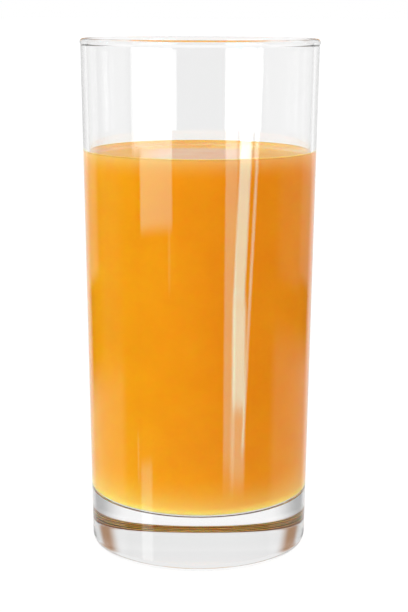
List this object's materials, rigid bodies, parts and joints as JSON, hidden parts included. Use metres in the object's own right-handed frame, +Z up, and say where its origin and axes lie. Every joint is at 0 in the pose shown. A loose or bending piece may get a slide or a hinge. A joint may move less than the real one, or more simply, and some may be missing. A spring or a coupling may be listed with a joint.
{
  "type": "glass of orange juice",
  "caption": "Tall, slightly tapered clear tumbler with a thick foot and a rounded rim, filled to about three quarters with cloudy orange juice.",
  "frame": {"origin": "middle of the resting plane under the tumbler", "axes": "+Z up along the tumbler's axis of turning, from the foot to the rim; X and Y are alike, and the picture was taken from about -Y"},
  "size_m": [0.0644, 0.0642, 0.1395],
  "materials": {
    "clear_glass": "clear pressed soda-lime glass, fire polished",
    "orange_juice": "cloudy orange juice with fine pulp and a wet, glossy surface"
  },
  "bodies": {
    "root": {"tumbler": "clear_glass", "orange_juice": "orange_juice"}
  },
  "joints": []
}
